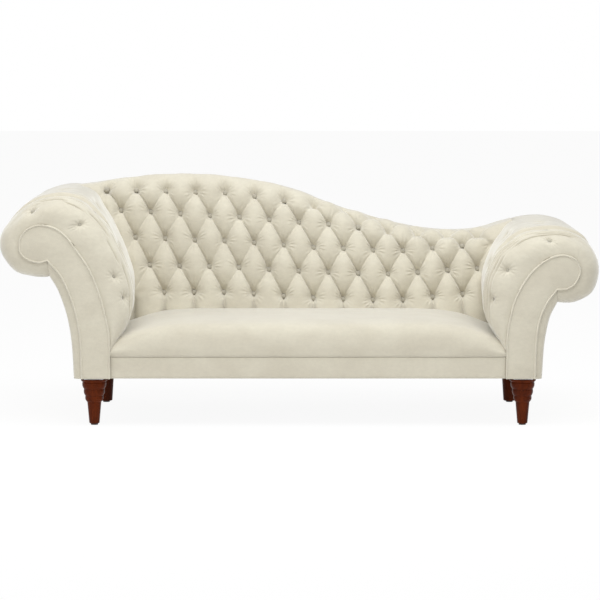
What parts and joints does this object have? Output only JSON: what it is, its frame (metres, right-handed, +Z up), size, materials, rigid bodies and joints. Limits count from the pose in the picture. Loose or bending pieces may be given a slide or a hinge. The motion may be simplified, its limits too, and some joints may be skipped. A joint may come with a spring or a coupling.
{
  "type": "fainting couch",
  "caption": "Cream velvet fainting couch with a deep buttoned, humped back that dips to a low end, two scroll arms and turned dark wood legs.",
  "frame": {"origin": "on the floor, under the middle of the couch's overall length and depth", "axes": "+X to the low end of the couch (the viewer's right), -Y out of the front of the seat, +Z up"},
  "size_m": [2.17, 0.8202, 0.875],
  "materials": {
    "velvet": "soft short-pile cream velvet",
    "leg_wood": "satin dark red-brown stain",
    "frame_wood": "sawn, unfinished",
    "webbing": "woven elastic strap",
    "lining": "thin black lining cloth",
    "steel": "plain zinc steel",
    "glide_plastic": "brown nylon"
  },
  "bodies": {
    "root": {"back_buttons": "velvet", "back_lower_rail": "frame_wood", "back_top_rail": "frame_wood", "back_webbing": "webbing", "corner_blocks": "frame_wood", "dust_cover": "lining", "front_border": "velvet", "front_seat_rail": "frame_wood", "inside_back_pad": "velvet", "left_arm_buttons": "velvet", "left_arm_pad": "velvet", "left_arm_rails": "frame_wood", "left_back_post": "frame_wood", "left_facing_panel": "velvet", "left_facing_welt": "velvet", "left_front_glide": "glide_plastic", "left_front_leg": "leg_wood", "left_front_scroll_board": "frame_wood", "left_middle_back_post": "frame_wood", "left_outside_arm_panel": "velvet", "left_rear_glide": "glide_plastic", "left_rear_leg": "leg_wood", "left_rear_scroll_board": "frame_wood", "left_seat_rail": "frame_wood", "leg_bolts": "steel", "leg_plates": "steel", "outside_back_panel": "velvet", "rear_seat_rail": "frame_wood", "right_arm_buttons": "velvet", "right_arm_pad": "velvet", "right_arm_rails": "frame_wood", "right_back_post": "frame_wood", "right_facing_panel": "velvet", "right_facing_welt": "velvet", "right_front_glide": "glide_plastic", "right_front_leg": "leg_wood", "right_front_scroll_board": "frame_wood", "right_middle_back_post": "frame_wood", "right_outside_arm_panel": "velvet", "right_rear_glide": "glide_plastic", "right_rear_leg": "leg_wood", "right_rear_scroll_board": "frame_wood", "right_seat_rail": "frame_wood", "seat_cross_webbing": "webbing", "seat_deck_cloth": "lining", "seat_long_webbing": "webbing", "seat_pad": "velvet", "seat_stretchers": "frame_wood"}
  },
  "joints": []
}
